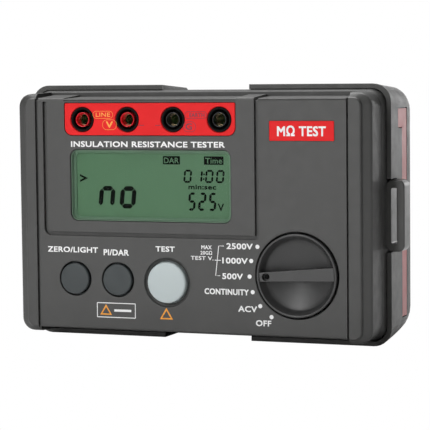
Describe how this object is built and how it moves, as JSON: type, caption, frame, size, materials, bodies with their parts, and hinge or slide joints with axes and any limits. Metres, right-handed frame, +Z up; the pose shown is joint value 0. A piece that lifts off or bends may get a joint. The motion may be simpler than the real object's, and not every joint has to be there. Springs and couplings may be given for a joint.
{
  "type": "insulation resistance tester",
  "caption": "Hand-held insulation resistance tester with safety sockets, display, push buttons, rotary range knob, strap lugs and a front cover stowed on its back.",
  "frame": {"origin": "middle of the underside of the whole object's box, standing upright on the stowed cover's flat underside", "axes": "+X to the right across the panel, as someone facing the panel sees it, +Y backwards from the panel to the stowed cover, +Z up"},
  "size_m": [0.1602, 0.071, 0.1],
  "materials": {
    "case_plastic": "fine moulded texture",
    "cover_plastic": "fine moulded texture",
    "red_plate": "satin moulded",
    "red_trim": "satin moulded",
    "black_plastic": "moulded",
    "button_dark": "fine moulded texture",
    "button_white": "translucent satin",
    "lens": "clear",
    "lcd": "reflective display film",
    "white_plastic": "moulded",
    "board": "solder mask",
    "sleeve": "plated",
    "screw_steel": "plated",
    "cell_jacket": "printed jacket",
    "ferrite": "sintered",
    "winding": "taped",
    "lamp": "clear tinted"
  },
  "bodies": {
    "case": {"front_case": "case_plastic", "rear_case": "case_plastic", "battery_door": "case_plastic", "strap_lug_left": "case_plastic", "strap_lug_right": "case_plastic", "terminal_plate": "red_plate", "socket_line": "red_plate", "socket_volt": "red_plate", "socket_guard": "black_plastic", "socket_earth": "black_plastic", "contact_line": "sleeve", "contact_volt": "sleeve", "contact_guard": "sleeve", "contact_earth": "sleeve", "name_badge": "red_trim", "lcd_frame": "black_plastic", "battery_tray": "black_plastic", "buzzer": "black_plastic", "key_switch_zero": "black_plastic", "key_switch_pi": "black_plastic", "key_switch_test": "black_plastic", "lcd_lens": "lens", "lcd_glass": "lcd", "backlight_panel": "white_plastic", "switch_ring": "white_plastic", "main_board": "board", "test_lamp": "lamp", "transformer_core": "ferrite", "transformer_coil": "winding", "battery_1": "cell_jacket", "battery_2": "cell_jacket", "battery_3": "cell_jacket", "battery_4": "cell_jacket", "battery_5": "cell_jacket", "battery_6": "cell_jacket", "battery_7": "cell_jacket", "battery_8": "cell_jacket", "battery_contact_left": "screw_steel", "battery_contact_middle": "screw_steel", "battery_contact_right": "screw_steel", "case_screw_1": "screw_steel", "case_screw_2": "screw_steel", "case_screw_3": "screw_steel", "case_screw_4": "screw_steel", "battery_door_screw": "screw_steel"},
    "knob": {"range_knob": "case_plastic", "switch_rotor": "black_plastic"},
    "zero_key": {"zero_button": "button_dark"},
    "pi_key": {"pi_button": "button_dark"},
    "test_key": {"test_button": "button_white"},
    "cover": {"storage_cover": "cover_plastic", "cover_stripe_left": "red_trim", "cover_stripe_right": "red_trim"}
  },
  "joints": [
    {"name": "knob_turn", "type": "hinge", "parent": "case", "child": "knob", "pos_m": [0.0438, -0.0313, 0.0283], "axis": [0, 1, 0], "range_deg": [-54.9, 36.6]},
    {"name": "zero_press", "type": "slide", "parent": "case", "child": "zero_key", "axis": [0, 1, 0], "range_m": [0, 0.0015], "stiffness_N_per_m": 600},
    {"name": "pi_press", "type": "slide", "parent": "case", "child": "pi_key", "axis": [0, 1, 0], "range_m": [0, 0.0015], "stiffness_N_per_m": 600},
    {"name": "test_press", "type": "slide", "parent": "case", "child": "test_key", "axis": [0, 1, 0], "range_m": [0, 0.0015], "stiffness_N_per_m": 600},
    {"name": "cover_slide", "type": "slide", "parent": "case", "child": "cover", "axis": [0, 1, 0], "range_m": [0, 0.04]}
  ]
}
